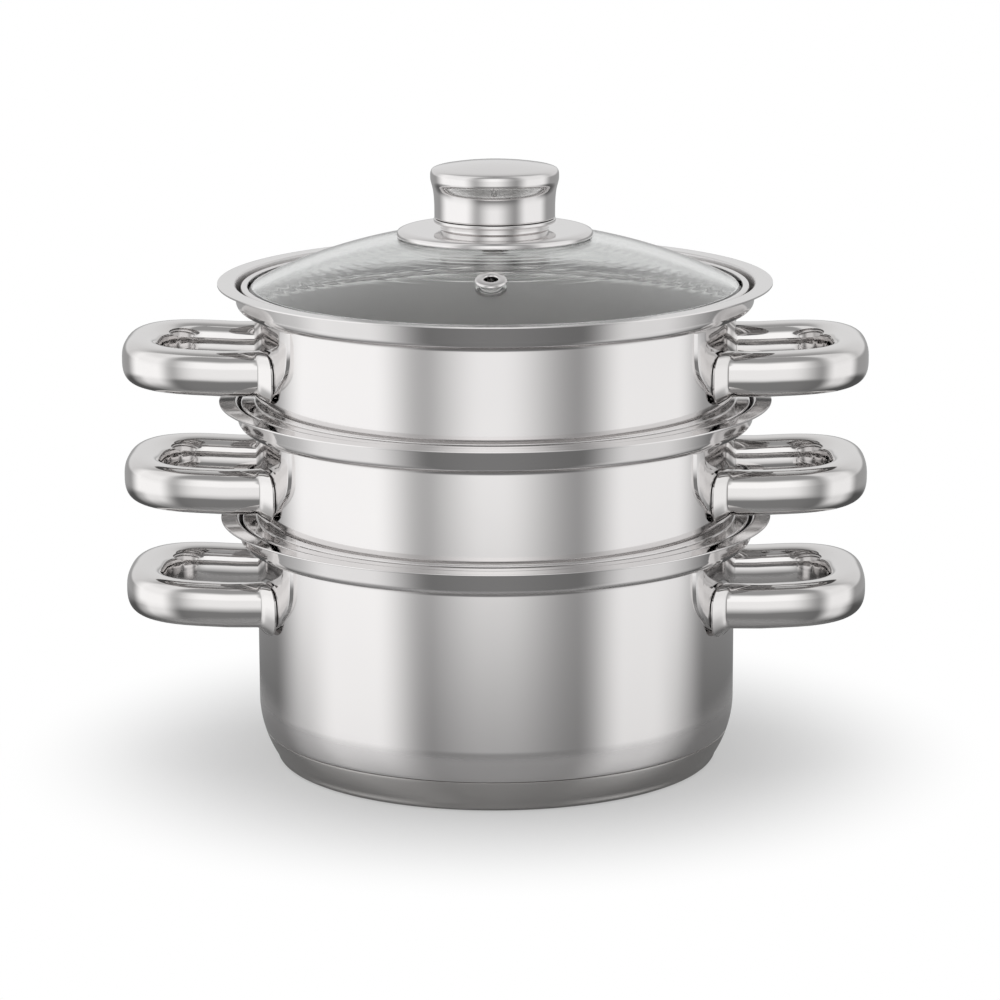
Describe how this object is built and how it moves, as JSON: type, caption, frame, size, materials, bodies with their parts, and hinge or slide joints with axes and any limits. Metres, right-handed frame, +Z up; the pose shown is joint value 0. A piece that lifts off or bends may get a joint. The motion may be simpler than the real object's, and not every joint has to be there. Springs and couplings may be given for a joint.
{
  "type": "three-tier steamer pot",
  "caption": "Stainless steel steamer: a pot with stacked perforated inserts and a domed glass lid, each tier with side loop handles and stepped rims that nest.",
  "frame": {"origin": "middle of the pot's flat base", "axes": "+Z up the stack, handles along X, the lid's steam vent towards -Y"},
  "size_m": [0.2806, 0.2084, 0.2278],
  "materials": {
    "vessel_steel": "mirror-polished stainless steel sheet",
    "handle_steel": "polished hollow stainless steel",
    "bracket_steel": "polished stainless steel pressing",
    "lid_steel": "mirror-polished stainless steel pressing",
    "base_steel": "satin stainless steel capsule",
    "heat_disc": "plain aluminium disc",
    "lid_glass": "clear tempered glass",
    "core_plastic": "moulded heat-resistant plastic",
    "brass": "turned brass",
    "seal_rubber": "black silicone rubber",
    "fastener_steel": "turned stainless steel"
  },
  "bodies": {
    "pot": {"pot_body": "vessel_steel", "pot_base_disc": "heat_disc", "pot_base_cap": "base_steel", "pot_right_bracket": "bracket_steel", "pot_right_handle": "handle_steel", "pot_left_bracket": "bracket_steel", "pot_left_handle": "handle_steel"},
    "lower_steamer": {"lower_steamer_body": "vessel_steel", "lower_steamer_right_bracket": "bracket_steel", "lower_steamer_right_handle": "handle_steel", "lower_steamer_left_bracket": "bracket_steel", "lower_steamer_left_handle": "handle_steel"},
    "upper_steamer": {"upper_steamer_body": "vessel_steel", "upper_steamer_right_bracket": "bracket_steel", "upper_steamer_right_handle": "handle_steel", "upper_steamer_left_bracket": "bracket_steel", "upper_steamer_left_handle": "handle_steel"},
    "lid": {"lid_glass": "lid_glass", "lid_ring": "lid_steel", "vent_eyelet": "lid_steel", "knob_base_plate": "lid_steel", "knob_cap": "lid_steel", "knob_core": "core_plastic", "knob_threaded_insert": "brass", "knob_spacer": "seal_rubber", "knob_seal": "seal_rubber", "knob_washer": "fastener_steel", "knob_screw": "fastener_steel"}
  },
  "joints": [
    {"name": "lower_steamer_lift", "type": "slide", "parent": "pot", "child": "lower_steamer", "axis": [0, 0, 1], "range_m": [0, 0.08]},
    {"name": "upper_steamer_lift", "type": "slide", "parent": "lower_steamer", "child": "upper_steamer", "axis": [0, 0, 1], "range_m": [0, 0.08]},
    {"name": "lid_lift", "type": "slide", "parent": "upper_steamer", "child": "lid", "axis": [0, 0, 1], "range_m": [0, 0.06]}
  ]
}
